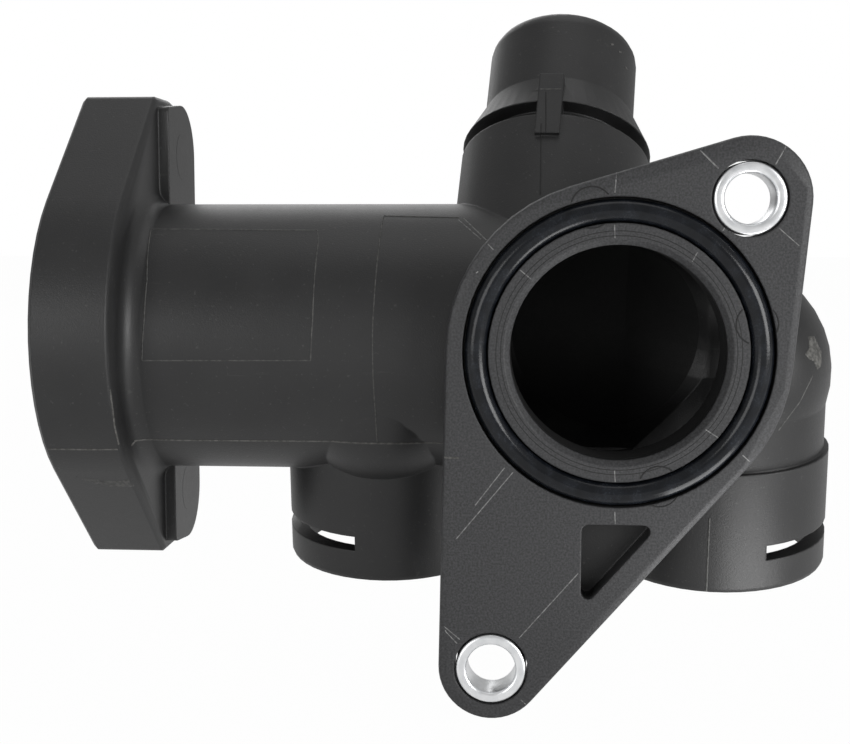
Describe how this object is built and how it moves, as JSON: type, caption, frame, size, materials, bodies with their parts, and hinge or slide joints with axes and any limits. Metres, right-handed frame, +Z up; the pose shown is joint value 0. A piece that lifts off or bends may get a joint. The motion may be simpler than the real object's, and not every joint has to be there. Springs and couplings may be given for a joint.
{
  "type": "coolant flange",
  "caption": "Moulded coolant flange with a bolted sealing plate, a wide side tube and flange, clip-in hose sockets below and a hose stub leaning back.",
  "frame": {"origin": "centre of the plate's opening, on the plate's sealing face, which meets the engine", "axes": "-Y out of the sealing face, -X along the wide tube to the side flange, +Z up"},
  "size_m": [0.1188, 0.0621, 0.1048],
  "materials": {
    "housing": "fine-grained glass-filled moulding, matte",
    "sleeves": "bright zinc plating",
    "seals": "smooth, slightly shiny"
  },
  "bodies": {
    "root": {"housing": "housing", "sleeve_upper": "sleeves", "sleeve_lower": "sleeves", "main_seal": "seals", "side_seal": "seals"}
  },
  "joints": []
}
